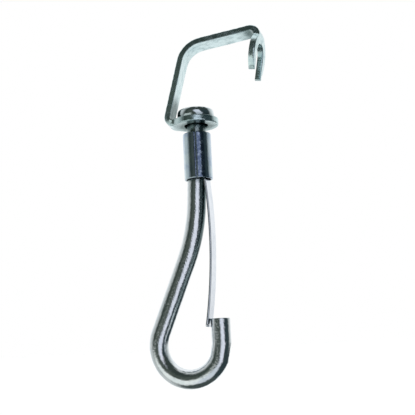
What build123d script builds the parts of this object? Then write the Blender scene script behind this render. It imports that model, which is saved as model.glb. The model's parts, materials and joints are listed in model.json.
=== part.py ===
"""Swivel meat hook: a bent flat hanger strap, a sprung snap hook that turns in its foot, and the gate.

Row frame: millimetres, +Z up and parallel to the swivel axis, origin at the centre of the fork's
half-round seat, halfway through the plate. Shapes are drawn about the point where the swivel axis
meets the top face of the strap's foot and shifted into the row frame at the end. The strap is bent
in the XZ plane. The snap hook lies in a plane through the swivel axis, turned by swivel_rest_turn
from the strap's plane; its own shapes are drawn untwisted in the XZ plane (hook frame).
"""
import os
from math import cos, radians, sin, tan

from build123d import *

# hanger strap
strap_thickness = 3.2
strap_width = 12.0
eye_radius = 12.0
swivel_hole_radius = 6.3
leg_lean = 15.0
top_leg_rise = 7.8
corner_x = -5.2
corner_z = 42.9
foot_bend_radius = 4.8
shoulder_bend_radius = 15.0
fork_bend_radius = 5.6
eye_flare_radius = 5.0

# fork at the free end of the strap
fork_centre_x = 36.6
fork_centre_z = 31.6
fork_tilt = 10.5
fork_twist = 7.0
fork_twist_reach = 2.0
fork_flare_radius = 3.0
fork_slot_radius = 6.3
fork_front_drop = 9.4
fork_back_drop = 11.3
fork_tip_width = 2.0
fork_tip_round = 0.6

# snap hook rod
swivel_rest_turn = -9.0
rod_radius = 5.0
set_height = -15.0
set_lean = 3.6
set_bend_radius = 30.0
back_lean = 23.5
back_bend_radius = 90.0
bowl_centre_x = -9.2
bowl_centre_z = -118.2
bowl_radius = 17.2
tip_height = -105.4
tip_edge_round = 0.4

# collar on the rod's top end
collar_radius = 10.0
collar_height = 5.0
collar_top_bevel = 0.7
collar_bottom_round = 0.3
peen_radius = 7.4
peen_height = 1.3
peen_rim_height = 0.5

# sleeve over rod and gate tang
sleeve_radius = 7.5
sleeve_bore_radius = 6.5
sleeve_top = -7.8
sleeve_bottom = -32.6
sleeve_grip_length = 6.0
sleeve_edge_round = 0.4
seam_gap = 0.3
seam_angle = 13.4

# leaf gate, held in the sleeve, bearing on the inside of the tip
leaf_thickness = 1.2
leaf_width = 8.0
tang_width = 5.6
tang_top = -17.0
tang_end_gap = 0.5
shoulder_height = -33.1
bend_line_height = -43.0
bend_line_gap = 0.05
leaf_apex_x = 6.55
leaf_apex_height = -61.0
gate_overlap = 4.0
gate_seat_gap = 0.15
leaf_corner_round = 1.0

# rivet that pins the tang to the rod
rivet_radius = 1.25
rivet_height = -22.0
rivet_depth = 5.0
rivet_head_radius = 2.1
rivet_head_height = 0.45
rivet_head_round = 0.2


def lean_vector(angle):
    """Unit vector pointing down, leaning towards -X by the angle in degrees."""
    return Vector(-sin(radians(angle)), 0, -cos(radians(angle)))


def meet(point_a, vector_a, point_b, vector_b):
    """Point in the XZ plane where two straight lines cross."""
    cross = vector_a.X * vector_b.Z - vector_a.Z * vector_b.X
    gap = point_b - point_a
    along = (gap.X * vector_b.Z - gap.Z * vector_b.X) / cross
    return point_a + vector_a * along


def corner(before, apex, after, radius):
    """Start, middle and end of the round of a bent corner in the XZ plane."""
    toward_start = (before - apex).normalized()
    toward_end = (after - apex).normalized()
    half_angle = radians(toward_start.get_angle(toward_end)) / 2
    bisector = (toward_start + toward_end).normalized()
    start = apex + toward_start * (radius / tan(half_angle))
    end = apex + toward_end * (radius / tan(half_angle))
    middle = apex + bisector * (radius / sin(half_angle) - radius)
    return start, middle, end


# ---------------------------------------------------------------- hanger strap

leg_vector = Vector(sin(radians(leg_lean)), 0, cos(radians(leg_lean)))
top_vector = Vector(cos(radians(top_leg_rise)), 0, sin(radians(top_leg_rise)))
fork_down = lean_vector(fork_tilt)
fork_normal = Vector(cos(radians(fork_tilt)), 0, -sin(radians(fork_tilt)))
fork_centre = Vector(fork_centre_x, 0, fork_centre_z)
shoulder = Vector(corner_x, 0, corner_z)
fork_corner = meet(shoulder, top_vector, fork_centre, fork_down)
twist_centre = corner(shoulder, fork_corner, fork_centre, fork_bend_radius)[0] - top_vector * fork_twist_reach
twist_axis = Axis(twist_centre, Vector(-top_vector.Z, 0, top_vector.X))


def strap_outer_points(run_on):
    """Corners of the strap's outer face, from the swivel eye to the fork, run on past both centres."""
    foot_start = Vector(run_on, 0, -strap_thickness)
    foot_corner = meet(foot_start, Vector(1, 0, 0), shoulder, leg_vector)
    return [foot_start, foot_corner, shoulder, fork_corner, fork_centre + fork_down * run_on]


def strap_inner_points(run_on):
    """The same corners on the inner face, one thickness inside."""
    leg_inside = Vector(leg_vector.Z, 0, -leg_vector.X) * strap_thickness
    top_inside = Vector(top_vector.Z, 0, -top_vector.X) * strap_thickness
    fork_start = fork_centre - fork_normal * strap_thickness
    foot_start = Vector(run_on, 0, 0)
    foot_corner = meet(foot_start, Vector(1, 0, 0), shoulder + leg_inside, leg_vector)
    inner_shoulder = meet(shoulder + leg_inside, leg_vector, shoulder + top_inside, top_vector)
    inner_corner = meet(shoulder + top_inside, top_vector, fork_start, fork_down)
    return [foot_start, foot_corner, inner_shoulder, inner_corner, fork_start + fork_down * run_on]


def rounded_run(points, radii):
    """Edges along the points, with the inner corners rounded."""
    edges = []
    here = points[0]
    for index, radius in enumerate(radii):
        start, middle, end = corner(points[index], points[index + 1], points[index + 2], radius)
        edges.append(Edge.make_line(here, start))
        edges.append(Edge.make_three_point_arc(start, middle, end))
        here = end
    edges.append(Edge.make_line(here, points[-1]))
    return edges


def strap_band(width, run_on):
    """The bent band at one width."""
    outer = strap_outer_points(run_on)
    inner = strap_inner_points(run_on)
    outer_radii = [foot_bend_radius, shoulder_bend_radius, fork_bend_radius]
    inner_radii = [radius - strap_thickness for radius in outer_radii]
    edges = rounded_run(outer, outer_radii)
    edges += rounded_run(inner, inner_radii)
    edges.append(Edge.make_line(outer[0], inner[0]))
    edges.append(Edge.make_line(outer[-1], inner[-1]))
    side = make_face(Wire(edges))
    return extrude(side, amount=width / 2, dir=(0, 1, 0), both=True)


def eye_outline(flare_radius):
    """A round eye with a neck along +X that flares down to the strap's width."""
    flare_offset = strap_width / 2 + flare_radius
    flare_reach = ((eye_radius + flare_radius) ** 2 - flare_offset**2) ** 0.5
    cheek = flare_offset * eye_radius / (eye_radius + flare_radius)
    neck = Pos(flare_reach / 2, 0) * Rectangle(flare_reach, 2 * cheek)
    for side in (-1, 1):
        neck -= Pos(flare_reach, side * flare_offset) * Circle(flare_radius)
    return Circle(eye_radius) + neck


def fork_plane():
    """Plane on the fork's outer face, x up the plate, origin at the slot's centre."""
    return Plane(origin=fork_centre, x_dir=fork_down * -1, z_dir=fork_normal)


def swivel_eye():
    """The foot's round eye."""
    prism = Rot(0, 0, 180) * extrude(eye_outline(eye_flare_radius), amount=2 * strap_thickness, both=True)
    return strap_band(2 * eye_radius, eye_radius) & prism


def fork_eye():
    """The other eye, running down into two prongs, the back one longer than the front one."""
    prong_half_width = fork_slot_radius + fork_tip_width
    outline = eye_outline(fork_flare_radius)
    outline += Pos(-eye_radius / 2, 0) * Rectangle(eye_radius, 2 * prong_half_width)
    for drop, side in ((fork_front_drop, 1), (fork_back_drop, -1)):
        outline -= Pos(-drop - eye_radius, side * eye_radius) * Rectangle(2 * eye_radius, 2 * eye_radius)
    prism = fork_plane() * extrude(outline, amount=3 * strap_thickness, both=True)
    return strap_band(2 * eye_radius, eye_radius) & prism


def fork_slot():
    """Open slot with a half-round seat, running down out of the fork."""
    slot = Circle(fork_slot_radius)
    slot += Pos(-eye_radius / 2, 0) * Rectangle(eye_radius, 2 * fork_slot_radius)
    return fork_plane() * extrude(slot, amount=2 * strap_thickness, both=True)


def prong_corners(strap):
    """The four sharp corners at the prongs' square ends."""
    found = []
    for edge in strap.edges().filter_by(GeomType.LINE):
        middle = fork_plane().to_local_coords(edge @ 0.5)
        along = edge.tangent_at(0.5)
        on_tip = any(abs(middle.X + drop) < 0.01 for drop in (fork_front_drop, fork_back_drop))
        through = abs(along.dot(fork_normal)) > 0.99
        if on_tip and through:
            found.append(edge)
    return found


def twist_cut(angle):
    """Plane across the strap at the twist, turned by an angle from square."""
    across = Vector(0, 1, 0).rotate(twist_axis, angle)
    return Plane(origin=twist_centre, x_dir=across, z_dir=top_vector.rotate(twist_axis, angle))


def make_fork():
    """The fork and its bend, turned about the top leg's upright so that its face looks to the front."""
    fork = strap_band(strap_width, 0) + fork_eye() - fork_slot()
    fork = fillet(prong_corners(fork), fork_tip_round)
    fork = split(fork, bisect_by=twist_cut(fork_twist / 2), keep=Keep.TOP)
    return fork.rotate(twist_axis, -fork_twist)


def make_hanger_strap():
    legs = strap_band(strap_width, 0) + swivel_eye()
    legs = split(legs, bisect_by=twist_cut(-fork_twist / 2), keep=Keep.BOTTOM)
    strap = legs + make_fork()
    return strap - Cylinder(swivel_hole_radius, 4 * strap_thickness)


# ---------------------------------------------------------------- snap hook rod

bowl_centre = Vector(bowl_centre_x, 0, bowl_centre_z)


def back_line():
    """The rod's straight back: a point on its centreline and its direction, tangent to the bowl."""
    along = lean_vector(back_lean)
    touch = bowl_centre + Vector(along.Z, 0, -along.X) * bowl_radius
    return touch, along


def rod_path():
    """Centreline of the rod from the collar's top face to the tip."""
    touch, back_direction = back_line()
    set_point = Vector(0, 0, set_height)
    set_direction = lean_vector(set_lean)
    back_corner = meet(set_point, set_direction, touch, back_direction)
    top = Vector(0, 0, collar_height)
    set_round = corner(top, set_point, back_corner, set_bend_radius)
    back_round = corner(set_point, back_corner, touch, back_bend_radius)
    bottom = bowl_centre + Vector(0, 0, -bowl_radius)
    tip_start = bowl_centre + Vector(bowl_radius, 0, 0)
    tip_end = Vector(tip_start.X, 0, tip_height)
    return Wire(
        [
            Edge.make_line(top, set_round[0]),
            Edge.make_three_point_arc(*set_round),
            Edge.make_line(set_round[2], back_round[0]),
            Edge.make_three_point_arc(*back_round),
            Edge.make_line(back_round[2], touch),
            Edge.make_three_point_arc(touch, bottom, tip_start),
            Edge.make_line(tip_start, tip_end),
        ]
    )


def peened_end():
    """The rod's end, hammered over on top of the collar."""
    rim_top = collar_height + peen_rim_height
    crown = collar_height + peen_height
    outline = [
        Edge.make_line((0, 0, collar_height), (peen_radius, 0, collar_height)),
        Edge.make_line((peen_radius, 0, collar_height), (peen_radius, 0, rim_top)),
        Edge.make_spline(
            [Vector(peen_radius, 0, rim_top), Vector(0, 0, crown)],
            tangents=[Vector(-1, 0, 1), Vector(-1, 0, 0)],
        ),
        Edge.make_line((0, 0, crown), (0, 0, collar_height)),
    ]
    return revolve(make_face(Wire(outline)), Axis.Z, 360)


def make_hook_rod():
    path = rod_path()
    section = Plane(origin=path @ 0, z_dir=path % 0) * Circle(rod_radius)
    rod = sweep(section, path)
    tip_edge = rod.edges().filter_by(GeomType.CIRCLE).sort_by_distance(path @ 1)[0]
    rod = fillet(tip_edge, tip_edge_round)
    rod += peened_end()
    rod -= tang_seat()
    rod -= rivet_hole()
    return rod


def make_collar():
    collar = Pos(0, 0, collar_height / 2) * Cylinder(collar_radius, collar_height)
    rims = collar.edges().filter_by(GeomType.CIRCLE).sort_by(Axis.Z)
    collar = chamfer(rims[-1], collar_top_bevel)
    rims = collar.edges().filter_by(GeomType.CIRCLE).sort_by(Axis.Z)
    collar = fillet(rims[0], collar_bottom_round)
    collar -= Cylinder(rod_radius, 4 * collar_height)
    return collar


# ---------------------------------------------------------------- sleeve

def make_sleeve():
    """Rolled sleeve with an open butt seam: it grips the rod at the top and holds the tang below."""
    length = sleeve_top - sleeve_bottom
    tube = Pos(0, 0, (sleeve_top + sleeve_bottom) / 2) * Cylinder(sleeve_radius, length)
    rims = tube.edges().filter_by(GeomType.CIRCLE)
    tube = fillet(rims, sleeve_edge_round)
    tube -= Cylinder(rod_radius, 4 * length)
    bore_top = sleeve_top - sleeve_grip_length
    bore_length = bore_top - sleeve_bottom
    tube -= Pos(0, 0, bore_top - bore_length) * Cylinder(sleeve_bore_radius, 2 * bore_length)
    seam = Pos(0, -sleeve_radius, 0) * Box(seam_gap, 2 * sleeve_radius, 4 * length)
    tube -= Rot(0, 0, seam_angle) * seam
    return tube


# ---------------------------------------------------------------- leaf gate

tip_inner_x = bowl_centre_x + bowl_radius - rod_radius
leaf_seat_height = tip_height - tip_edge_round
leaf_end_height = tip_height - gate_overlap
leaf_fall = leaf_apex_height - leaf_seat_height
leaf_shift = leaf_apex_x - tip_inner_x + gate_seat_gap
leaf_outer_radius = (leaf_fall**2 + leaf_shift**2) / (2 * leaf_shift)
leaf_inner_radius = leaf_outer_radius - leaf_thickness
leaf_centre_x = leaf_apex_x - leaf_outer_radius


def leaf_point(height):
    """Point of the bowed leaf's inner face at a height."""
    rise = height - leaf_apex_height
    return Vector(leaf_centre_x + (leaf_inner_radius**2 - rise**2) ** 0.5, 0, height)


def leaf_out(height):
    """Unit vector out of the leaf, from its inner to its outer face."""
    return (leaf_point(height) - Vector(leaf_centre_x, 0, leaf_apex_height)).normalized()


def tang_point(height):
    """Point of the straight tang's inner face, which carries on from the bow above the shoulder."""
    out = leaf_out(shoulder_height)
    start = leaf_point(shoulder_height)
    return start + Vector(-out.Z, 0, out.X) * ((height - shoulder_height) / out.X)


def strip(inner_edge, out_start, out_end, width):
    """A strip of the leaf's thickness outside an edge in the XZ plane."""
    start = inner_edge @ 0
    end = inner_edge @ 1
    outer_start = start + out_start * leaf_thickness
    outer_end = end + out_end * leaf_thickness
    if inner_edge.geom_type == GeomType.LINE:
        outer_edge = Edge.make_line(outer_start, outer_end)
    else:
        middle = inner_edge @ 0.5
        outer_middle = middle + leaf_out(middle.Z) * leaf_thickness
        outer_edge = Edge.make_three_point_arc(outer_start, outer_middle, outer_end)
    sides = [Edge.make_line(start, outer_start), Edge.make_line(end, outer_end)]
    face = make_face(Wire([inner_edge, outer_edge] + sides))
    return extrude(face, amount=width / 2, dir=(0, 1, 0), both=True)


def bowed_strip(high, low):
    """The leaf at full width between two heights."""
    inner_edge = Edge.make_three_point_arc(leaf_point(high), leaf_point((high + low) / 2), leaf_point(low))
    return strip(inner_edge, leaf_out(high), leaf_out(low), leaf_width)


def make_gate_tang():
    """The clamped end of the leaf: a narrow straight tang in the sleeve, full width below its shoulders."""
    out = leaf_out(shoulder_height)
    inner_edge = Edge.make_line(tang_point(tang_top), leaf_point(shoulder_height))
    leaf = strip(inner_edge, out, out, tang_width) + bowed_strip(shoulder_height, bend_line_height)
    return leaf - rivet_hole()


def make_gate_blade():
    """The free length of the leaf, from the bend line to the end that bears on the tip."""
    blade = bowed_strip(bend_line_height - bend_line_gap, leaf_end_height)
    ends = blade.faces().sort_by(Axis.Z)[0].edges().filter_by(lambda edge: edge.length < 2 * leaf_thickness)
    return fillet(ends, leaf_corner_round)


def tang_seat():
    """The slab ground off the rod, from just above the tang down, so that the tang beds flat on it."""
    seat_length = tang_top - shoulder_height
    depth = 2 * rod_radius
    slab = Pos(0, 0, depth / 2) * Box(depth, 2 * seat_length, depth)
    return tang_plane(shoulder_height + tang_end_gap) * slab


def tang_plane(height):
    """Plane on the tang's inner face: x across the hook, y up the tang, z out of it."""
    return Plane(origin=tang_point(height), x_dir=(0, -1, 0), z_dir=leaf_out(shoulder_height))


# ---------------------------------------------------------------- rivet

def rivet_hole():
    """Blind hole in the rod and through hole in the tang."""
    length = rivet_depth + 2 * leaf_thickness
    return tang_plane(rivet_height) * (Pos(0, 0, length / 2 - rivet_depth) * Cylinder(rivet_radius, length))


def make_gate_rivet():
    length = rivet_depth + leaf_thickness
    shank = Pos(0, 0, length / 2 - rivet_depth) * Cylinder(rivet_radius, length)
    head = Pos(0, 0, leaf_thickness + rivet_head_height / 2) * Cylinder(rivet_head_radius, rivet_head_height)
    rim = head.edges().filter_by(GeomType.CIRCLE).sort_by(Axis.Z)[-1]
    return tang_plane(rivet_height) * (shank + fillet(rim, rivet_head_round))


def turned(shape):
    """Turn a hook-frame shape to where the hook rests in the strap."""
    return Rot(0, 0, swivel_rest_turn) * shape


def seat_centre():
    """Centre of the fork's half-round seat, halfway through the plate."""
    untwisted = fork_centre - fork_normal * (strap_thickness / 2)
    return Vertex(*untwisted).rotate(twist_axis, -fork_twist).center()


def in_row_frame(shape):
    """Shift a shape so that the centre of the fork's seat is at the origin."""
    return Pos(seat_centre() * -1) * shape


def main():
    os.makedirs("parts", exist_ok=True)
    nodes = {
        "hanger_strap": make_hanger_strap(),
        "swivel_collar": turned(make_collar()),
        "hook_rod": turned(make_hook_rod()),
        "sleeve": turned(make_sleeve()),
        "gate_tang": turned(make_gate_tang()),
        "gate_blade": turned(make_gate_blade()),
        "gate_rivet": turned(make_gate_rivet()),
    }
    for name, shape in nodes.items():
        export_step(in_row_frame(shape), f"parts/{name}.step")


main()
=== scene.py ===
"""Looks of the swivel meat hook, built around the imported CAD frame.

Shapes are drawn in millimetres about the point where the swivel axis meets the top face of the strap's
foot. The snap hook's own shapes are drawn flat in the XZ plane (hook frame) and turned about the swivel
axis to where the hook rests. Everything is put into the row frame, in metres, when its mesh is made.
"""
import json
from math import acos, asin, atan2, cos, hypot, pi, radians, sin, sqrt, tan

import bpy
import bmesh
from mathutils import Matrix, Vector, geometry, kdtree, noise


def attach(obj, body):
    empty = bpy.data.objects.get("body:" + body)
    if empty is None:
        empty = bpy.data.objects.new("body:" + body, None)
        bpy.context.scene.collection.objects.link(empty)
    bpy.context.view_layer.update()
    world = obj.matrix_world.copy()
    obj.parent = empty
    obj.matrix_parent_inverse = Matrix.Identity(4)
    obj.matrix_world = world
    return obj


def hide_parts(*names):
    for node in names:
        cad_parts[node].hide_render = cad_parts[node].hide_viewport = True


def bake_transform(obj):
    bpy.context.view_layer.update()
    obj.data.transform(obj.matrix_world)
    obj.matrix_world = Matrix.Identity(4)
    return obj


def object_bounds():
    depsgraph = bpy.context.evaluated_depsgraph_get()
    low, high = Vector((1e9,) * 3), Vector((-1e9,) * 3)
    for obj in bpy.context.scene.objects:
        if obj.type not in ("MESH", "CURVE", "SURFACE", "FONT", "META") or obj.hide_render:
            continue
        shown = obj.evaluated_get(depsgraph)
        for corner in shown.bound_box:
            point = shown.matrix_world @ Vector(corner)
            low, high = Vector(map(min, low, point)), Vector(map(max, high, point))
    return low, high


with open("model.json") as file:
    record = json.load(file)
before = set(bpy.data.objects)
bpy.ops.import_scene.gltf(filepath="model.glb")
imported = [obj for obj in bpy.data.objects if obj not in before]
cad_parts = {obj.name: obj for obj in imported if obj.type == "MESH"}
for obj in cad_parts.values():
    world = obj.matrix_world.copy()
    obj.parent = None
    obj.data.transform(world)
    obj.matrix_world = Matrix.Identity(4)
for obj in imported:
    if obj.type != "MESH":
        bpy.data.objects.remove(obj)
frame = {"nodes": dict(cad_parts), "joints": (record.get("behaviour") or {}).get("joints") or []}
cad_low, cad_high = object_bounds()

MM = 0.001
SWIVEL = Vector(frame["joints"][0]["pos_m"])
HOOK_TURN = radians(-9.0)

# ------------------------------------------------------------------ sizes, as in the CAD (millimetres)

STRAP_T = 3.2
STRAP_HALF = 6.0
EYE_R = 12.0
HOLE_R = 6.3
FOOT_FLARE_R = 5.0
FORK_FLARE_R = 3.0
LEG_LEAN = radians(15.0)
TOP_RISE = radians(7.8)
SHOULDER = Vector((-5.2, 0, 42.9))
BEND_RADII = (4.8, 15.0, 5.6)
FORK = Vector((36.6, 0, 31.6))
FORK_TILT = radians(10.5)
FORK_TWIST = radians(-7.0)
FORK_TWIST_REACH = 2.0
FORK_TWIST_EASE = 3.0
FORK_BEND = 5
SLOT_R = 6.3
FRONT_DROP = 9.4
BACK_DROP = 11.3
PRONG_HALF = 8.3
PRONG_ROUND = 0.6

ROD_R = 5.0
SET_Z = -15.0
SET_LEAN = radians(3.6)
SET_R = 30.0
BACK_LEAN = radians(23.5)
BACK_R = 90.0
BOWL = Vector((-9.2, 0, -118.2))
BOWL_R = 17.2
TIP_Z = -105.4
TIP_ROUND = 0.4

COLLAR_R = 10.0
COLLAR_H = 5.0
COLLAR_BEVEL = 0.7
COLLAR_FOOT = 0.3
COLLAR_UNDERCUT = 0.80
COLLAR_WAIST = 2.4
COLLAR_BARREL = 0.35
COLLAR_BARREL_R = 5.5
PEEN_R = 7.4
PEEN_RIM = 0.5
PEEN_H = 1.3

SLEEVE_R = 7.5
SLEEVE_BORE = 6.5
SLEEVE_TOP = -7.8
SLEEVE_BOTTOM = -32.6
SLEEVE_GRIP = 6.0
SLEEVE_EDGE = 0.4
SEAM_ANGLE = radians(13.4)
SEAM_GAP = 0.3

LEAF_T = 1.2
LEAF_HALF = 4.0
TANG_HALF = 2.8
TANG_TOP = -17.0
SHOULDER_Z = -33.1
LEAF_APEX = Vector((6.55, 0, -61.0))
LEAF_OVERLAP = 4.0
LEAF_GAP = 0.15
LEAF_CORNER = 1.0
LEAF_EDGE_R = 0.5
FLEX_START = (5.0, 0, -37.0)
FLEX_END = (5.0, 0, -75.0)

# ------------------------------------------------------------------ wear and finish (millimetres)

SHEAR_ROLL = 0.60
SHEAR_BURR = 0.16
SHEAR_TAPER = 0.24
SHEAR_ROUGH = 0.08
PRONG_CRISP = 0.65
EDGE_BULGE = 0.14
FACE_WAVE = 0.05
COLLAR_DENT = 0.06
ROD_WAVE = 0.06
TIP_DISH = 0.15
CRIMP_DEPTH = 0.12
SLEEVE_LOBE = 0.04
SEAM_ROLL = 0.16
SEAM_ROLL_REACH = 0.4
COLLAR_DENT_REACH = 1.2
TANG_FLAT_RUN = 14.0
FACE_MARGIN = 0.12
PRONG_CRISP_START = 3.0
PRONG_CRISP_REACH = 4.5
TAPER_START = 9.0
TAPER_REACH = 6.0

# ------------------------------------------------------------------ mesh density (millimetres and counts)

STRAP_STEP = 0.45
STRAP_GRID = 0.62
STRAP_GRID_CLEAR = 0.95
COLLAR_STEP = 0.35
COLLAR_SEGMENTS = 160
ROD_STEP = 0.6
ROD_SEGMENTS = 88
PEEN_STEPS = 14
SLEEVE_STEP = 0.4
SLEEVE_COLUMNS = 170
TANG_STEP = 0.8
LEAF_STEP = 0.6
LEAF_FINE_STEP = 0.1

# ------------------------------------------------------------------ camera (metres, target in millimetres)

CAMERA_AZIMUTH = radians(10.1)
CAMERA_ELEVATION = radians(-10.0)
CAMERA_ROLL = radians(-2.9)
CAMERA_DISTANCE = 0.400
CAMERA_TARGET = Vector((3.9, 0, -47.7))
CAMERA_SENSOR = 36.0
CAMERA_LENS = 66.19
CAMERA_CLIP = (0.01, 10.0)

# ------------------------------------------------------------------ studio
# Colours are linear. Directions are degrees from the camera's own axes.

ROOM_FAR_LEFT = (0.040, 0.054, 0.046)
ROOM_LEFT = (0.076, 0.092, 0.080)
ROOM_RIGHT = (0.034, 0.052, 0.056)
ROOM_STEP = (-60.0, -44.0)
ROOM_SPLIT = (-5.0, 30.0)
CEILING = (0.042, 0.054, 0.049)
CEILING_AT = (30.0, 38.0)
GROUND = (0.060, 0.076, 0.072)
GROUND_AT = (-50.0, -68.0)
WALL_DIM = (0.58, 0.61, 0.60)
WALL_DIM_LEFT = (-67.0, -101.0)
WALL_DIM_RIGHT = (90.0, 110.0)
SURROUND = (0.95, 0.97, 0.97)
WALL_LEFT = (-114.0, -140.0)
WALL_LEFT_FOOT = (-45.0, -15.0)
WALL_RIGHT = (112.0, 145.0)
WALL_RIGHT_FOOT = (-16.0, -4.0)
BACKDROP = (134.0, 143.0)
BACKDROP_FOOT = (-52.0, -38.0)
ZENITH = (80.0, 88.0)
WINDOWS = (
    (-50.0, -28.0, 32.0, 27.0, 0.0, 0.5, (0.86, 0.90, 0.86)),
    (0.0, -36.0, 30.0, 22.0, 0.0, 0.5, (0.66, 0.70, 0.74)),
    (14.5, 10.0, 18.5, 37.0, 35.0, 0.40, (0.80, 0.82, 0.90)),
)
FLOOR_GLOW = 0.6
FLOOR_PAINT = 0.85
FLOOR_DROP = 0.030
FLOOR_HALF = 6.0

# worn edges, painted shade in sheltered corners, and painted shade on one facing side of the leaf and the sleeve

EDGE_WEAR = 0.5
WORN_TINT = (0.93, 0.94, 0.95)
# painted shade: a dark teal tint mixed in where ambient occlusion within this reach finds nearby surfaces
NOOK_SHADE_REACH = 12.0
NOOK_SHADE_RANGE = (0.60, 0.95)
NOOK_SHADE_TINT = (0.07, 0.13, 0.13)
# painted shade: a dark tint in blotches on faces turned toward the given direction, the leaf's toward -X and the
# sleeve's just right of the seam
LEAF_SIDE_SHADE = ((-1.0, 0.0, 0.0), (0.60, 0.85), (0.20, 0.28, 0.26), 0.8)
SLEEVE_SIDE_SHADE = ((sin(radians(20.0)), -cos(radians(20.0)), 0.0), (0.90, 0.96), (0.09, 0.13, 0.23), 0.9)


# ------------------------------------------------------------------ mesh helpers

def hook_point(p):
    """A hook-frame point in millimetres, in the row frame."""
    turned = Matrix.Rotation(HOOK_TURN, 3, "Z") @ Vector(p)
    return turned * MM + SWIVEL


def strap_point(p):
    """A strap point in millimetres, in the row frame."""
    return Vector(p) * MM + SWIVEL


def make_object(name, verts, faces, to_row):
    mesh = bpy.data.meshes.new(name)
    mesh.from_pydata([to_row(v) for v in verts], [], faces)
    tidy = bmesh.new()
    tidy.from_mesh(mesh)
    bmesh.ops.recalc_face_normals(tidy, faces=tidy.faces)
    tidy.to_mesh(mesh)
    tidy.free()
    for polygon in mesh.polygons:
        polygon.use_smooth = True
    obj = bpy.data.objects.new(name, mesh)
    bpy.context.scene.collection.objects.link(obj)
    return obj


def ring_faces(start, rows, columns, wrap_rows=False):
    """Quads between neighbouring closed rings of equal length, laid out one after another."""
    faces = []
    row_pairs = rows if wrap_rows else rows - 1
    for i in range(row_pairs):
        a = start + i * columns
        b = start + ((i + 1) % rows) * columns
        for j in range(columns):
            k = (j + 1) % columns
            faces.append((a + j, b + j, b + k, a + k))
    return faces


def smoothstep(x):
    x = min(1.0, max(0.0, x))
    return x * x * (3 - 2 * x)


# ------------------------------------------------------------------ camera

def make_camera():
    azimuth, elevation, roll = CAMERA_AZIMUTH, CAMERA_ELEVATION, CAMERA_ROLL
    target = SWIVEL + CAMERA_TARGET * MM
    back = Vector((sin(azimuth) * cos(elevation), -cos(azimuth) * cos(elevation), sin(elevation)))
    right = (-back).cross(Vector((0, 0, 1))).normalized()
    up = right.cross(-back)
    x_axis = cos(roll) * right + sin(roll) * up
    y_axis = -sin(roll) * right + cos(roll) * up
    data = bpy.data.cameras.new("camera")
    data.sensor_width = CAMERA_SENSOR
    data.lens = CAMERA_LENS
    data.clip_start, data.clip_end = CAMERA_CLIP
    camera = bpy.data.objects.new("camera", data)
    bpy.context.scene.collection.objects.link(camera)
    rotation = Matrix((x_axis, y_axis, back)).transposed()
    camera.matrix_world = Matrix.Translation(target + back * CAMERA_DISTANCE) @ rotation.to_4x4()
    bpy.context.scene.camera = camera


# ------------------------------------------------------------------ paths bent in the XZ plane

def meet(point_a, along_a, point_b, along_b):
    """Where two lines in the XZ plane cross."""
    cross = along_a.x * along_b.z - along_a.z * along_b.x
    gap = point_b - point_a
    return point_a + along_a * ((gap.x * along_b.z - gap.z * along_b.x) / cross)


def left_of(along):
    """The unit vector to the left of a heading in the XZ plane, seen from -Y."""
    return Vector((-along.z, 0, along.x))


class BentPath:
    """Straight runs and arcs in the XZ plane, measured by length."""

    def __init__(self, points, radii):
        self.pieces = []
        self.length = 0.0
        here = points[0]
        for before, apex, after, radius in zip(points, points[1:], points[2:], radii):
            come = (apex - before).normalized()
            leave = (after - apex).normalized()
            turn = atan2(come.x * leave.z - come.z * leave.x, come.dot(leave))
            reach = radius * tan(abs(turn) / 2)
            self.add_line(here, apex - come * reach)
            self.add_arc(apex - come * reach, come, radius, turn)
            here = apex + leave * reach
        self.add_line(here, points[-1])

    def add_line(self, start, end):
        length = (end - start).length
        self.pieces.append((self.length, start, (end - start).normalized(), 0.0))
        self.length += length

    def add_arc(self, start, along, radius, turn):
        length = radius * abs(turn)
        curvature = turn / length
        self.pieces.append((self.length, start, along, curvature))
        self.length += length

    def at(self, distance):
        """Point, heading and curvature (positive to the left) at a length along the path."""
        piece = self.pieces[0]
        for candidate in self.pieces:
            if candidate[0] <= distance:
                piece = candidate
        begin, start, along, curvature = piece
        run = distance - begin
        if curvature == 0.0:
            return start + along * run, along, 0.0
        angle = curvature * run
        side = left_of(along)
        point = start + along * (sin(angle) / curvature) + side * ((1 - cos(angle)) / curvature)
        return point, along * cos(angle) + side * sin(angle), curvature


# ------------------------------------------------------------------ hanger strap

def strap_path():
    """Mid-surface of the strap, from the swivel axis to the fork's centre, run on at both ends."""
    leg = Vector((sin(LEG_LEAN), 0, cos(LEG_LEAN)))
    top = Vector((cos(TOP_RISE), 0, sin(TOP_RISE)))
    down = Vector((-sin(FORK_TILT), 0, -cos(FORK_TILT)))
    foot = Vector((-1, 0, 0))
    half = STRAP_T / 2
    foot_line = Vector((0, 0, -half))
    leg_line = SHOULDER - left_of(leg) * half
    top_line = SHOULDER - left_of(top) * half
    fork_line = FORK - left_of(down) * half
    corners = [
        foot_line - foot * EYE_R,
        meet(foot_line, foot, leg_line, leg),
        meet(leg_line, leg, top_line, top),
        meet(top_line, top, fork_line, down),
        fork_line + down * EYE_R,
    ]
    return BentPath(corners, [radius - half for radius in BEND_RADII])


def arc_points(centre, radius, start, end, step):
    """Points along an arc in the plate's plane, from one angle to another."""
    count = max(2, round(abs(end - start) * radius / step))
    found = []
    for i in range(count + 1):
        angle = start + (end - start) * i / count
        found.append((centre[0] + radius * cos(angle), centre[1] + radius * sin(angle)))
    return found


def line_points(start, end, step):
    count = max(1, round(hypot(end[0] - start[0], end[1] - start[1]) / step))
    return [
        (start[0] + (end[0] - start[0]) * i / count, start[1] + (end[1] - start[1]) * i / count)
        for i in range(count + 1)
    ]


def join_runs(runs):
    """One list of points from runs that each start where the last one ended."""
    points = list(runs[0])
    for run in runs[1:]:
        points += run[1:]
    return points


def flare(radius):
    """Centre of the round between an eye and the strap, from the eye's centre, and its direction."""
    y = STRAP_HALF + radius
    x = sqrt((EYE_R + radius) ** 2 - y**2)
    return x, y, atan2(y, x)


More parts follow.
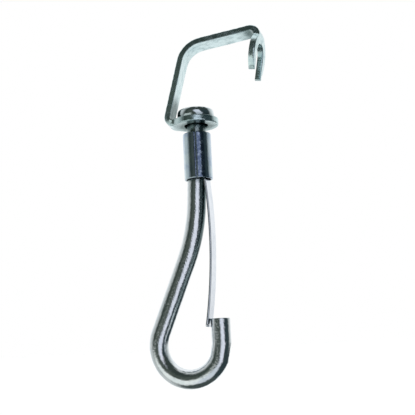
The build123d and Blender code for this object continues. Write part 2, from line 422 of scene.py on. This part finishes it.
def half_outline(fork_at, drop, step):
    """The blank's outline on the +Y side: foot eye, strap, fork eye, prong and slot."""
    foot_x, foot_y, foot_cheek = flare(FOOT_FLARE_R)
    fork_x, fork_y, fork_cheek = flare(FORK_FLARE_R)
    prong_angle = asin(PRONG_HALF / EYE_R)
    prong_start = fork_at + EYE_R * cos(prong_angle)
    tip = fork_at + drop
    shoulder = tip - PRONG_ROUND
    return join_runs(
        [
            arc_points((0, 0), EYE_R, pi, foot_cheek, step),
            arc_points((foot_x, foot_y), FOOT_FLARE_R, foot_cheek + pi, 1.5 * pi, step),
            line_points((foot_x, STRAP_HALF), (fork_at - fork_x, STRAP_HALF), step),
            arc_points((fork_at - fork_x, fork_y), FORK_FLARE_R, -pi / 2, -fork_cheek, step),
            arc_points((fork_at, 0), EYE_R, pi - fork_cheek, prong_angle, step),
            line_points((prong_start, PRONG_HALF), (shoulder, PRONG_HALF), step),
            arc_points((shoulder, PRONG_HALF - PRONG_ROUND), PRONG_ROUND, pi / 2, 0, step / 2),
            line_points((tip, PRONG_HALF - PRONG_ROUND), (tip, SLOT_R + PRONG_ROUND), step),
            arc_points((shoulder, SLOT_R + PRONG_ROUND), PRONG_ROUND, 0, -pi / 2, step / 2),
            line_points((shoulder, SLOT_R), (fork_at, SLOT_R), step),
            arc_points((fork_at, 0), SLOT_R, pi / 2, pi, step),
        ]
    )


def blank_loops(fork_at, step):
    """Closed outline and closed swivel hole of the flat blank, material on the left of both."""
    upper = half_outline(fork_at, BACK_DROP, step)
    lower = [(x, -y) for x, y in reversed(half_outline(fork_at, FRONT_DROP, step)[1:-1])]
    outline = list(reversed(upper + lower))
    hole = arc_points((0, 0), HOLE_R, 2 * pi, 0, step)[:-1]
    return outline, hole


def outward_normals(loop):
    """Unit vectors to the right of travel at each point of a closed loop."""
    normals = []
    for before, after in zip(loop[-1:] + loop[:-1], loop[1:] + loop[:1]):
        run = Vector((after[0] - before[0], after[1] - before[1])).normalized()
        normals.append(Vector((run.y, -run.x)))
    return normals


def inset(loop, normals, depths):
    return [(p[0] - n.x * d, p[1] - n.y * d) for p, n, d in zip(loop, normals, depths)]


def inside(point, loop):
    """True if a point lies inside a closed loop."""
    x, y = point
    odd = False
    for (ax, ay), (bx, by) in zip(loop, loop[1:] + loop[:1]):
        if (ay > y) != (by > y) and x < (bx - ax) * (y - ay) / (by - ay) + ax:
            odd = not odd
    return odd


def fill_points(outline, hole, spacing, clear):
    """Hexagonal grid of points inside the outline and outside the hole, clear of both."""
    edges = [Vector(p) for p in outline + hole]
    tree = kdtree.KDTree(len(edges))
    for index, p in enumerate(edges):
        tree.insert((p.x, p.y, 0), index)
    tree.balance()
    low_x = min(p[0] for p in outline)
    high_x = max(p[0] for p in outline)
    high_y = max(p[1] for p in outline)
    row_gap = spacing * sqrt(3) / 2
    found = []
    rows = int(2 * high_y / row_gap) + 1
    columns = int((high_x - low_x) / spacing) + 1
    for row in range(rows):
        y = -high_y + row * row_gap
        for column in range(columns):
            x = low_x + (column + 0.5 * (row % 2)) * spacing
            if tree.find((x, y, 0))[2] < clear:
                continue
            if inside((x, y), outline) and not inside((x, y), hole):
                found.append((x, y))
    return found


def strap_mapper(path):
    """Bends the flat blank: length along, width across and height off the mid-surface, in millimetres."""
    start = EYE_R
    twist_at = path.pieces[FORK_BEND][0] - FORK_TWIST_REACH
    pivot, top_ahead, _ = path.at(twist_at)

    def bend_at(along):
        gentle = 0.0
        for shift in (-1.2, -0.6, 0.0, 0.6, 1.2):
            gentle += path.at(min(max(along + start + shift, 0.0), path.length))[2]
        return gentle / 5

    def place(along, across, height):
        point, ahead, _ = path.at(along + start)
        strain = -bend_at(along) * height
        widened = across * (1 - EDGE_BULGE * strain)
        wave = FACE_WAVE * noise.noise(Vector((along * 0.13, across * 0.11, 3.1)))
        bent = point + left_of(ahead) * (height + wave) + Vector((0, widened, 0))
        share = smoothstep((along + start - twist_at) / (2 * FORK_TWIST_EASE) + 0.5)
        return pivot + Matrix.Rotation(FORK_TWIST * share, 3, left_of(top_ahead)) @ (bent - pivot)

    return place


def rolled_row(loop, normals, radii, tapers, angle, side):
    """One row of the rounding between a face and the tapered sheared edge."""
    half = STRAP_T / 2
    heights = [side * (half - r * (1 - cos(angle))) for r in radii]
    depths = [r * (1 - sin(angle)) + t * (h + half) / STRAP_T for r, t, h in zip(radii, tapers, heights)]
    return inset(loop, normals, depths), heights


def strap_mesh():
    path = strap_path()
    fork_at = path.length - 2 * EYE_R
    place = strap_mapper(path)
    half = STRAP_T / 2
    outline, hole = blank_loops(fork_at, STRAP_STEP)
    verts = []
    faces = []
    loops = []
    for loop in (outline, hole):
        normals = outward_normals(loop)
        crisp_at = fork_at + PRONG_CRISP_START
        shares = [1 - PRONG_CRISP * smoothstep((p[0] - crisp_at) / PRONG_CRISP_REACH) for p in loop]
        tapers = [
            SHEAR_TAPER * share * smoothstep((p[0] - TAPER_START) / TAPER_REACH)
            for p, share in zip(loop, shares)
        ]
        rolls = {
            side: [
                share * size * (1 + 0.45 * noise.noise(Vector((p[0] * 0.9, p[1] * 0.9, 7.7 * side))))
                for p, share in zip(loop, shares)
            ]
            for side, size in ((1, SHEAR_ROLL), (-1, SHEAR_BURR))
        }
        rough = [noise.noise(Vector((p[0] * 2.3, p[1] * 2.3, 5.0))) for p in loop]
        margins = [FACE_MARGIN * share for share in shares]
        top_inset = [t + r + m for t, r, m in zip(tapers, rolls[1], margins)]
        rows = [(inset(loop, normals, top_inset), [half] * len(loop))]
        for degrees in (0, 18, 36, 54, 72, 90):
            rows.append(rolled_row(loop, normals, rolls[1], tapers, radians(degrees), 1))
        for share in (0.25, 0.5, 0.75):
            heights = [(half - a) * (1 - share) - (half - b) * share for a, b in zip(rolls[1], rolls[-1])]
            depths = [
                t * (h + half) / STRAP_T + SHEAR_ROUGH * abs(r) * sin(share * pi)
                for h, t, r in zip(heights, tapers, rough)
            ]
            rows.append((inset(loop, normals, depths), heights))
        for degrees in (90, 60, 30, 0):
            rows.append(rolled_row(loop, normals, rolls[-1], tapers, radians(degrees), -1))
        rows.append((inset(loop, normals, [r + m for r, m in zip(rolls[-1], margins)]), [-half] * len(loop)))
        first = len(verts)
        for points, heights in rows:
            for (x, y), h in zip(points, heights):
                verts.append(place(x, y, h))
        faces += ring_faces(first, len(rows), len(loop))
        last = first + (len(rows) - 1) * len(loop)
        loops.append(((first, last), (rows[0][0], rows[-1][0])))
    inner_points = fill_points(outline, hole, STRAP_GRID, STRAP_GRID_CLEAR)
    for side, height in ((0, half), (1, -half)):
        flat = []
        known = []
        edges = []
        for row_starts, inset_loops in loops:
            begin = len(flat)
            count = len(inset_loops[side])
            flat += [Vector(p) for p in inset_loops[side]]
            known += [row_starts[side] + i for i in range(count)]
            edges += [(begin + i, begin + (i + 1) % count) for i in range(count)]
        for p in inner_points:
            flat.append(Vector(p))
            known.append(len(verts))
            verts.append(place(p[0], p[1], height))
        out_verts, _, out_faces, came_from, _, _ = geometry.delaunay_2d_cdt(flat, edges, [], 0, 1e-5)
        ids = [known[source[0]] for source in came_from]
        for face in out_faces:
            centre = sum((out_verts[i] for i in face), Vector((0, 0))) / len(face)
            if inside(centre, loops[0][1][side]) and not inside(centre, loops[1][1][side]):
                faces.append(tuple(ids[i] for i in face))
    return verts, faces


# ------------------------------------------------------------------ turned and swept shapes

def lathe(profile, segments):
    """Closed (radius, height) profile turned about the swivel axis."""
    verts = []
    for i in range(segments):
        angle = 2 * pi * i / segments
        verts += [Vector((r * cos(angle), r * sin(angle), z)) for r, z in profile]
    return verts, ring_faces(0, segments, len(profile), wrap_rows=True)


def rounded_corner(before, corner, after, radius, steps=5):
    """Points that round one corner of a profile."""
    b, c, a = Vector(before), Vector(corner), Vector(after)
    back = (b - c).normalized()
    on = (a - c).normalized()
    half = acos(max(-1.0, min(1.0, back.dot(on)))) / 2
    reach = radius / tan(half)
    centre = c + (back + on).normalized() * (radius / sin(half))
    start = c + back * reach - centre
    end = c + on * reach - centre
    sweep = acos(max(-1.0, min(1.0, start.dot(end) / radius**2)))
    points = []
    for i in range(steps + 1):
        share = i / steps
        mixed = start * (sin((1 - share) * sweep) / sin(sweep)) + end * (sin(share * sweep) / sin(sweep))
        points.append(tuple(centre + mixed))
    return points


def rounded_profile(corners, radii):
    """Closed profile with each corner rounded by its own radius, 0 for a sharp one."""
    points = []
    count = len(corners)
    for i, (corner, radius) in enumerate(zip(corners, radii)):
        if radius == 0:
            points.append(tuple(corner))
        else:
            points += rounded_corner(corners[i - 1], corner, corners[(i + 1) % count], radius)
    return points


def subdivide(points, step):
    """Closed profile with its long sides cut into short steps."""
    found = []
    for (ax, ay), (bx, by) in zip(points, points[1:] + points[:1]):
        count = max(1, round(hypot(bx - ax, by - ay) / step))
        found += [(ax + (bx - ax) * i / count, ay + (by - ay) * i / count) for i in range(count)]
    return found


# ------------------------------------------------------------------ collar

def collar_mesh():
    profile = rounded_profile(
        [
            (ROD_R, 0),
            (COLLAR_R - COLLAR_UNDERCUT, 0),
            (COLLAR_R, COLLAR_WAIST),
            (COLLAR_R - COLLAR_BARREL, COLLAR_H - COLLAR_BEVEL),
            (COLLAR_R - COLLAR_BEVEL, COLLAR_H),
            (ROD_R, COLLAR_H),
        ],
        [0, COLLAR_FOOT, COLLAR_BARREL_R, 0.35, 0.35, 0],
    )
    verts, faces = lathe(subdivide(profile, COLLAR_STEP), COLLAR_SEGMENTS)
    worn = []
    for v in verts:
        radius = hypot(v.x, v.y)
        if radius > COLLAR_R - COLLAR_DENT_REACH:
            dent = COLLAR_DENT * noise.noise(Vector((v.x * 0.35, v.y * 0.35, v.z * 0.9 + 4.0)))
            worn.append(Vector((v.x * (1 - abs(dent) / radius), v.y * (1 - abs(dent) / radius), v.z)))
        else:
            worn.append(v)
    return worn, faces


# ------------------------------------------------------------------ snap hook rod

def rod_path():
    back = Vector((-sin(BACK_LEAN), 0, -cos(BACK_LEAN)))
    touch = BOWL + Vector((back.z, 0, -back.x)) * BOWL_R
    set_point = Vector((0, 0, SET_Z))
    set_down = Vector((-sin(SET_LEAN), 0, -cos(SET_LEAN)))
    back_corner = meet(set_point, set_down, touch, back)
    path = BentPath([Vector((0, 0, COLLAR_H)), set_point, back_corner, touch], [SET_R, BACK_R])
    path.add_arc(touch, back, BOWL_R, pi)
    tip_start = BOWL + Vector((BOWL_R, 0, 0))
    path.add_line(tip_start, Vector((tip_start.x, 0, TIP_Z)))
    return path


def tang_flat(v):
    """Moves a rod point back to the flat that was ground for the tang."""
    if SHOULDER_Z - TANG_FLAT_RUN < v.z < TANG_TOP + 0.5:
        out = leaf_out(SHOULDER_Z)
        proud = (v - leaf_inner(SHOULDER_Z)).dot(out)
        if proud > 0:
            return v - out * proud
    return v


def rod_mesh():
    path = rod_path()
    segments = ROD_SEGMENTS
    verts = []
    rings = 0

    def add_ring(centre, ahead, radius, lumps=True):
        side = left_of(ahead)
        for j in range(segments):
            angle = 2 * pi * j / segments
            out = side * cos(angle) + Vector((0, 1, 0)) * sin(angle)
            point = centre + out * radius
            if lumps:
                point -= out * (ROD_WAVE * abs(noise.noise(point * 0.22)))
                point = tang_flat(point)
            verts.append(point)

    for height, radius in peen_profile():
        add_ring(Vector((0, 0, height)), Vector((0, 0, -1)), radius, lumps=False)
        rings += 1
    steps = round(path.length / ROD_STEP)
    for i in range(1, steps):
        point, ahead, _ = path.at(path.length * i / steps * ((path.length - 2 * TIP_ROUND) / path.length))
        add_ring(point, ahead, ROD_R)
        rings += 1
    end, ahead, _ = path.at(path.length)
    for degrees in (0, 15, 30, 45, 60, 75, 90):
        angle = radians(degrees)
        centre = end - ahead * TIP_ROUND * (1 - sin(angle))
        add_ring(centre, ahead, ROD_R - TIP_ROUND * (1 - cos(angle)))
        rings += 1
    for share in (0.85, 0.7, 0.5, 0.3, 0.12):
        radius = (ROD_R - TIP_ROUND) * share
        bowed = TIP_DISH * (1 - share**2)
        side = left_of(ahead)
        for j in range(segments):
            angle = 2 * pi * j / segments
            out = side * cos(angle) + Vector((0, 1, 0)) * sin(angle)
            p = end + out * radius
            rough = TIP_DISH * noise.noise(p * 0.9)
            verts.append(p - ahead * (bowed + rough * (1 - share) * 0.5))
        rings += 1
    faces = ring_faces(0, rings, segments)
    faces.append(tuple(range(segments)))
    faces.append(tuple(reversed(range(len(verts) - segments, len(verts)))))
    return verts, faces


def peen_profile():
    """Heights and radii of the hammered-over end, from its crown out to the rim and in under it."""
    rows = []
    for i in range(1, PEEN_STEPS + 1):
        share = i / PEEN_STEPS
        radius = PEEN_R * sin(share * pi / 2)
        drop = (PEEN_H - PEEN_RIM) * (1 - cos(share * pi / 2))
        rows.append((COLLAR_H + PEEN_H - drop, radius))
    rows.append((COLLAR_H + PEEN_RIM * 0.5, PEEN_R))
    rows.append((COLLAR_H + 0.02, PEEN_R - 0.12))
    rows.append((COLLAR_H - 0.05, ROD_R + 0.3))
    return rows


# ------------------------------------------------------------------ sleeve

def sleeve_profile():
    bore_top = SLEEVE_TOP - SLEEVE_GRIP
    corners = [
        (SLEEVE_R, SLEEVE_BOTTOM),
        (SLEEVE_R, SLEEVE_TOP),
        (ROD_R, SLEEVE_TOP),
        (ROD_R, bore_top),
        (SLEEVE_BORE, bore_top),
        (SLEEVE_BORE, SLEEVE_BOTTOM),
    ]
    return subdivide(rounded_profile(corners, [SLEEVE_EDGE, SLEEVE_EDGE, 0, 0, 0, 0.15]), SLEEVE_STEP)


def sleeve_mesh():
    profile = sleeve_profile()
    seam = -pi / 2 + SEAM_ANGLE
    half_gap = SEAM_GAP / 2 / SLEEVE_R
    columns = SLEEVE_COLUMNS
    verts = []
    for j in range(columns):
        turn = half_gap + (2 * pi - 2 * half_gap) * j / (columns - 1)
        signed = turn if turn < pi else turn - 2 * pi
        from_seam = signed * SLEEVE_R
        angle = seam + turn
        for r, z in profile:
            outer = smoothstep((r - SLEEVE_BORE) / (SLEEVE_R - SLEEVE_BORE))
            roll_in = SEAM_ROLL * (1 - smoothstep((abs(from_seam) - SEAM_GAP / 2) / SEAM_ROLL_REACH))
            crimp = CRIMP_DEPTH * crimp_at(from_seam, z)
            lobes = SLEEVE_LOBE * (1 - cos(3 * turn))
            radius = r - outer * (roll_in + crimp + lobes)
            verts.append(Vector((radius * cos(angle), radius * sin(angle), z)))
    faces = ring_faces(0, columns, len(profile))
    faces.append(tuple(range(len(profile))))
    faces.append(tuple(range(len(verts) - len(profile), len(verts))))
    return verts, faces


def crimp_at(from_seam, z):
    """Depth share of the die marks: short dents along both sides of the seam."""
    along = smoothstep((SLEEVE_TOP - 1.0 - z) / 1.5) * smoothstep((z - SLEEVE_BOTTOM - 3.0) / 5.0)
    near = 1 - smoothstep((abs(from_seam) - 1.5) / 2.5)
    dents = abs(noise.noise(Vector((from_seam * 0.8, z * 1.5, 2.0))))
    dents += 0.5 * abs(noise.noise(Vector((from_seam * 1.7, z * 3.0, 8.0))))
    return along * near * dents


# ------------------------------------------------------------------ leaf gate

SEAT_X = BOWL.x + BOWL_R - ROD_R
LEAF_FALL = LEAF_APEX.z - (TIP_Z - TIP_ROUND)
LEAF_SHIFT = LEAF_APEX.x - SEAT_X + LEAF_GAP
LEAF_R = (LEAF_FALL**2 + LEAF_SHIFT**2) / (2 * LEAF_SHIFT) - LEAF_T
LEAF_CENTRE = Vector((LEAF_APEX.x - LEAF_T - LEAF_R, 0, LEAF_APEX.z))
LEAF_END = TIP_Z - LEAF_OVERLAP


def leaf_out(z):
    """Unit vector out of the leaf's inner face at a height."""
    return (leaf_inner(z) - LEAF_CENTRE).normalized()


def leaf_inner(z):
    """Point of the bowed leaf's inner face at a height."""
    rise = z - LEAF_CENTRE.z
    return Vector((LEAF_CENTRE.x + sqrt(LEAF_R**2 - rise**2), 0, z))


def leaf_station(z):
    """Inner face point and outward unit vector at a height, straight in the tang and bowed below it."""
    if z <= SHOULDER_Z:
        return leaf_inner(z), leaf_out(z)
    out = leaf_out(SHOULDER_Z)
    start = leaf_inner(SHOULDER_Z)
    return start + Vector((-out.z, 0, out.x)) * ((z - SHOULDER_Z) / out.x), out


def leaf_half_width(z):
    step = smoothstep((SHOULDER_Z + 0.25 - z) / 0.5)
    half = TANG_HALF + (LEAF_HALF - TANG_HALF) * step
    near_end = z - LEAF_END
    if near_end < LEAF_CORNER:
        half -= LEAF_CORNER - sqrt(max(0.0, LEAF_CORNER**2 - (LEAF_CORNER - near_end) ** 2))
    return half


def leaf_section(half_width, edge):
    """Closed (across, thickness) loop of the strip with rounded edges."""
    corners = [(-half_width, 0), (half_width, 0), (half_width, LEAF_T), (-half_width, LEAF_T)]
    points = []
    for i, corner in enumerate(corners):
        points += rounded_corner(corners[i - 1], corner, corners[(i + 1) % 4], edge, 4)
        nxt = corners[(i + 1) % 4]
        if i in (0, 2):
            start = points[-1]
            end = (nxt[0] - edge * (1 if i == 0 else -1), nxt[1])
            points += [
                (start[0] + (end[0] - start[0]) * k / 12, start[1] + (end[1] - start[1]) * k / 12)
                for k in range(1, 12)
            ]
    return points


def leaf_mesh():
    heights = []
    z = TANG_TOP
    while z > SHOULDER_Z + 0.6:
        heights.append(z)
        z -= TANG_STEP
    heights += [SHOULDER_Z + 0.6 - LEAF_FINE_STEP * k for k in range(12)]
    z = SHOULDER_Z - 0.9
    while z > LEAF_END + LEAF_CORNER:
        heights.append(z)
        z -= LEAF_STEP
    heights += [LEAF_END + LEAF_CORNER * (1 - sin(radians(d))) for d in range(0, 91, 10)]
    verts = []
    columns = 0
    for z in heights:
        inner, out = leaf_station(z)
        section = leaf_section(leaf_half_width(z), LEAF_EDGE_R)
        columns = len(section)
        for across, thick in section:
            p = inner + out * thick + Vector((0, across, 0))
            verts.append(p)
    faces = ring_faces(0, len(heights), columns)
    faces.append(tuple(range(columns)))
    faces.append(tuple(range(len(verts) - columns, len(verts))))
    return verts, faces


# ------------------------------------------------------------------ surfaces

class Nodes:
    """Short way to build a node tree."""

    def __init__(self, tree):
        self.tree = tree
        tree.nodes.clear()

    def add(self, kind):
        return self.tree.nodes.new(kind)

    def feed(self, socket, value):
        if isinstance(value, bpy.types.NodeSocket):
            self.tree.links.new(value, socket)
        else:
            socket.default_value = value

    def math(self, operation, a, b=0.0):
        node = self.add("ShaderNodeMath")
        node.operation = operation
        self.feed(node.inputs[0], a)
        self.feed(node.inputs[1], b)
        return node.outputs[0]

    def step(self, value, low, high, to_low=0.0, to_high=1.0):
        """Smooth ramp of a value between two bounds."""
        node = self.add("ShaderNodeMapRange")
        node.interpolation_type = "SMOOTHSTEP"
        settings = {"Value": value, "From Min": low, "From Max": high, "To Min": to_low, "To Max": to_high}
        for name, setting in settings.items():
            self.feed(node.inputs[name], setting)
        return node.outputs[0]

    def mix(self, factor, a, b):
        node = self.add("ShaderNodeMix")
        node.data_type = "RGBA"
        self.feed(node.inputs["Factor"], factor)
        self.feed(node.inputs[6], a)
        self.feed(node.inputs[7], b)
        return node.outputs[2]

    def noise(self, vector, scale, detail=3.0, roughness=0.5):
        node = self.add("ShaderNodeTexNoise")
        self.feed(node.inputs["Vector"], vector)
        node.inputs["Scale"].default_value = scale
        node.inputs["Detail"].default_value = detail
        node.inputs["Roughness"].default_value = roughness
        return node.outputs["Fac"]


def zinc(name, tint, cloud_tint, rough, rough_spread, pit_size, pit_depth, nook_shade=0.0, side_shade=None):
    """Bright zinc plate: tinted, clouded, finely pitted and worn along edges, with dark green painted shade in
    its nooks and painted shade on one facing side.
    """
    material = bpy.data.materials.new(name)
    material.use_nodes = True
    n = Nodes(material.node_tree)
    place = n.add("ShaderNodeTexCoord").outputs["Object"]
    clouds = n.noise(place, 160.0, 4.0, 0.6)
    colour = n.mix(n.step(clouds, 0.35, 0.7), (*tint, 1), (*cloud_tint, 1))
    edge = n.step(n.add("ShaderNodeNewGeometry").outputs["Pointiness"], 0.52, 0.60)
    patchy = n.step(n.noise(place, 900.0, 3.0), 0.4, 0.6)
    worn = n.math("MULTIPLY", n.math("MULTIPLY", edge, patchy), EDGE_WEAR)
    colour = n.mix(worn, colour, (*WORN_TINT, 1))
    # painted shade: the dark teal tint is mixed in where ambient occlusion finds nearby surfaces
    shelter = n.add("ShaderNodeAmbientOcclusion")
    shelter.inputs["Distance"].default_value = NOOK_SHADE_REACH * MM
    open_sky = n.step(shelter.outputs["AO"], *NOOK_SHADE_RANGE)
    colour = n.mix(n.math("MULTIPLY", n.math("SUBTRACT", 1.0, open_sky), nook_shade), colour, (*NOOK_SHADE_TINT, 1))
    # painted shade: a dark tint in blotches on the faces turned toward one direction
    if side_shade:
        direction, span, side_shade_tint, share = side_shade
        facing = n.add("ShaderNodeVectorMath")
        facing.operation = "DOT_PRODUCT"
        n.feed(facing.inputs[0], n.add("ShaderNodeTexCoord").outputs["Normal"])
        facing.inputs[1].default_value = direction
        patches = n.step(n.noise(place, 600.0, 3.0), 0.30, 0.55, share * 0.5, share)
        side_shaded = n.math("MULTIPLY", n.step(facing.outputs["Value"], *span), patches)
        colour = n.mix(side_shaded, colour, (*side_shade_tint, 1))
    fine = n.noise(place, pit_size, 2.0, 0.6)
    smear = n.noise(place, 320.0, 3.0, 0.5)
    roughness = n.step(smear, 0.3, 0.7, rough - rough_spread, rough + rough_spread)
    roughness = n.math("ADD", roughness, n.math("MULTIPLY", worn, 0.15))
    bump = n.add("ShaderNodeBump")
    bump.inputs["Strength"].default_value = 1.0
    bump.inputs["Distance"].default_value = pit_depth * MM
    n.feed(bump.inputs["Height"], fine)
    shader = n.add("ShaderNodeBsdfPrincipled")
    n.feed(shader.inputs["Base Color"], colour)
    shader.inputs["Metallic"].default_value = 1.0
    n.feed(shader.inputs["Roughness"], roughness)
    n.feed(shader.inputs["Normal"], bump.outputs[0])
    out = n.add("ShaderNodeOutputMaterial")
    n.feed(out.inputs["Surface"], shader.outputs[0])
    return material


# ------------------------------------------------------------------ studio

def make_world():
    """White surround, a dark room behind the camera, and soft bright windows in it.

    It turns with the camera.
    """
    world = bpy.data.worlds.new("studio")
    bpy.context.scene.world = world
    world.use_nodes = True
    n = Nodes(world.node_tree)
    ray = n.add("ShaderNodeVectorMath")
    ray.operation = "NORMALIZE"
    n.feed(ray.inputs[0], n.add("ShaderNodeTexCoord").outputs["Camera"])
    split = n.add("ShaderNodeSeparateXYZ")
    n.feed(split.inputs[0], ray.outputs[0])
    x, y, z = split.outputs
    side = n.math("MULTIPLY", n.math("ARCTAN2", x, n.math("MULTIPLY", z, -1.0)), 180 / pi)
    lift = n.math("MULTIPLY", n.math("ARCSINE", y), 180 / pi)
    room = n.mix(n.step(side, *ROOM_STEP), (*ROOM_FAR_LEFT, 1), (*ROOM_LEFT, 1))
    room = n.mix(n.step(side, *ROOM_SPLIT), room, (*ROOM_RIGHT, 1))
    colour = n.mix(n.step(lift, *GROUND_AT), room, (*GROUND, 1))
    for centre_side, centre_lift, half_side, half_lift, tilt, softness, light in WINDOWS:
        across = n.math("SUBTRACT", side, centre_side)
        up = n.math("SUBTRACT", lift, centre_lift)
        c, s = cos(radians(tilt)), sin(radians(tilt))
        u = n.math("ADD", n.math("MULTIPLY", across, c), n.math("MULTIPLY", up, s))
        v = n.math("SUBTRACT", n.math("MULTIPLY", up, c), n.math("MULTIPLY", across, s))
        u = n.math("ABSOLUTE", n.math("DIVIDE", u, half_side))
        v = n.math("ABSOLUTE", n.math("DIVIDE", v, half_lift))
        power = n.math("ADD", n.math("POWER", u, 3.0), n.math("POWER", v, 3.0))
        glow = n.step(power, 1 + softness, 1 - softness)
        colour = n.mix(glow, colour, (*light, 1))
    colour = n.mix(n.step(lift, *CEILING_AT), colour, (*CEILING, 1))
    above = n.step(lift, *WALL_RIGHT_FOOT)
    dim_right = n.math("MULTIPLY", n.step(side, *WALL_DIM_RIGHT), above)
    dim = n.math("MAXIMUM", n.step(side, *WALL_DIM_LEFT), dim_right)
    dim = n.math("MULTIPLY", dim, n.math("SUBTRACT", 1.0, n.step(lift, *GROUND_AT)))
    colour = n.mix(dim, colour, (*WALL_DIM, 1))
    white_left = n.math("MULTIPLY", n.step(side, *WALL_LEFT), n.step(lift, *WALL_LEFT_FOOT))
    white_right = n.math("MULTIPLY", n.step(side, *WALL_RIGHT), above)
    white_back = n.math("MULTIPLY", n.step(side, *BACKDROP), n.step(lift, *BACKDROP_FOOT))
    white = n.math("MAXIMUM", white_left, n.math("MAXIMUM", white_right, white_back))
    white = n.math("MAXIMUM", white, n.step(lift, *ZENITH))
    colour = n.mix(white, colour, (*SURROUND, 1))
    seen = n.add("ShaderNodeLightPath").outputs["Is Camera Ray"]
    colour = n.mix(seen, colour, (1, 1, 1, 1))
    background = n.add("ShaderNodeBackground")
    n.feed(background.inputs["Color"], colour)
    out = n.add("ShaderNodeOutputWorld")
    n.feed(out.inputs["Surface"], background.outputs[0])


def make_floor():
    """Plain white floor, seen only from above."""
    z = cad_low.z - FLOOR_DROP
    mesh = bpy.data.meshes.new("floor")
    corners = [(x * FLOOR_HALF, y * FLOOR_HALF, z) for x, y in ((-1, -1), (1, -1), (1, 1), (-1, 1))]
    mesh.from_pydata(corners, [], [(0, 1, 2, 3)])
    floor = bpy.data.objects.new("floor", mesh)
    bpy.context.scene.collection.objects.link(floor)
    material = bpy.data.materials.new("floor_white")
    material.use_nodes = True
    n = Nodes(material.node_tree)
    paint = n.add("ShaderNodeBsdfDiffuse")
    paint.inputs["Color"].default_value = (FLOOR_PAINT, FLOOR_PAINT, FLOOR_PAINT, 1)
    glow = n.add("ShaderNodeEmission")
    glow.inputs["Strength"].default_value = FLOOR_GLOW
    lit = n.add("ShaderNodeAddShader")
    n.feed(lit.inputs[0], paint.outputs[0])
    n.feed(lit.inputs[1], glow.outputs[0])
    clear = n.add("ShaderNodeBsdfTransparent")
    pick = n.add("ShaderNodeMixShader")
    n.feed(pick.inputs[0], n.add("ShaderNodeNewGeometry").outputs["Backfacing"])
    n.feed(pick.inputs[1], lit.outputs[0])
    n.feed(pick.inputs[2], clear.outputs[0])
    out = n.add("ShaderNodeOutputMaterial")
    n.feed(out.inputs["Surface"], pick.outputs[0])
    mesh.materials.append(material)
    floor.visible_glossy = False


# ------------------------------------------------------------------ build

make_camera()
make_world()
make_floor()
bpy.context.scene.view_settings.view_transform = "Standard"

# the last arguments set how much painted shade each piece gets in its nooks and on one facing side
strap_look = zinc("strap_zinc", (0.68, 0.82, 0.84), (0.56, 0.72, 0.75), 0.20, 0.14, 2600.0, 0.03, nook_shade=1.0)
collar_look = zinc("collar_zinc", (0.78, 0.85, 0.88), (0.66, 0.74, 0.78), 0.12, 0.04, 2200.0, 0.02, nook_shade=0.5)
rod_look = zinc("rod_zinc", (0.84, 0.87, 0.90), (0.74, 0.79, 0.83), 0.08, 0.03, 1250.0, 0.10, nook_shade=0.75)
sleeve_look = zinc(
    "sleeve_zinc", (0.64, 0.74, 0.80), (0.46, 0.56, 0.72), 0.15, 0.06, 1300.0, 0.05,
    nook_shade=0.3, side_shade=SLEEVE_SIDE_SHADE,
)
leaf_look = zinc("leaf_steel", (0.82, 0.85, 0.91), (0.74, 0.78, 0.85), 0.15, 0.05, 2600.0, 0.015, side_shade=LEAF_SIDE_SHADE)
rivet_look = zinc("rivet_steel", (0.70, 0.72, 0.74), (0.60, 0.62, 0.65), 0.30, 0.06, 2600.0, 0.03)


def add_piece(name, made, to_row, look, body, replaced):
    verts, faces = made
    piece = make_object(name, verts, faces, to_row)
    piece.data.materials.append(look)
    if body is not None:
        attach(piece, body)
    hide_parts(*replaced)
    return piece


add_piece("strap", strap_mesh(), strap_point, strap_look, "hanger", ["hanger_strap"])
add_piece("collar", collar_mesh(), hook_point, collar_look, "hook", ["swivel_collar"])
add_piece("rod", rod_mesh(), hook_point, rod_look, "hook", ["hook_rod"])
add_piece("crimped_sleeve", sleeve_mesh(), hook_point, sleeve_look, "hook", ["sleeve"])
leaf = add_piece(
    "leaf_gate", leaf_mesh(), hook_point, leaf_look, None, ["gate_tang", "gate_blade"]
)
hook_point(FLEX_START)
hook_point(FLEX_END)
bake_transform(leaf)
rivet = frame["nodes"]["gate_rivet"]
rivet.data.materials.clear()
rivet.data.materials.append(rivet_look)
